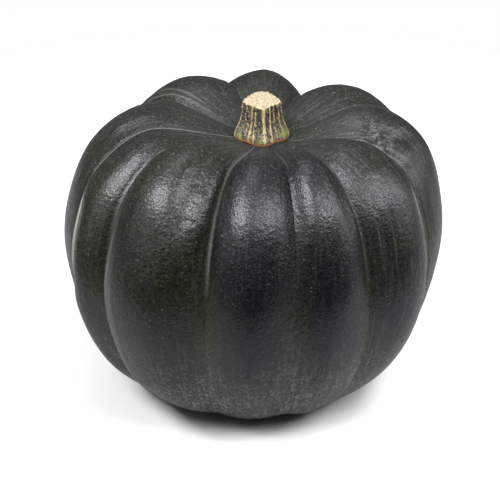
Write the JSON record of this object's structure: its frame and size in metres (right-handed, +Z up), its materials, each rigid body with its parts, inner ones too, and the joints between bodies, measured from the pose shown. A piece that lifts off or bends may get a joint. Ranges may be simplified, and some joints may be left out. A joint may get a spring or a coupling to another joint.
{
  "type": "kabocha squash",
  "caption": "Whole ribbed kabocha squash with a waxy dark green rind and the cut stub of its corky stalk, standing on its blossom end.",
  "frame": {"origin": "on the ground, in the middle of the squash's footprint", "axes": "+Z up, from the blossom end that it stands on to the stalk; -Y faces the front"},
  "size_m": [0.1902, 0.1946, 0.1539],
  "materials": {
    "rind": "waxy semi-gloss rind with a fine pebbled grain",
    "stalk": "dry corky stalk with raised stripes and a pale sawn-looking cut"
  },
  "bodies": {
    "root": {"fruit": "rind", "stem": "stalk"}
  },
  "joints": []
}
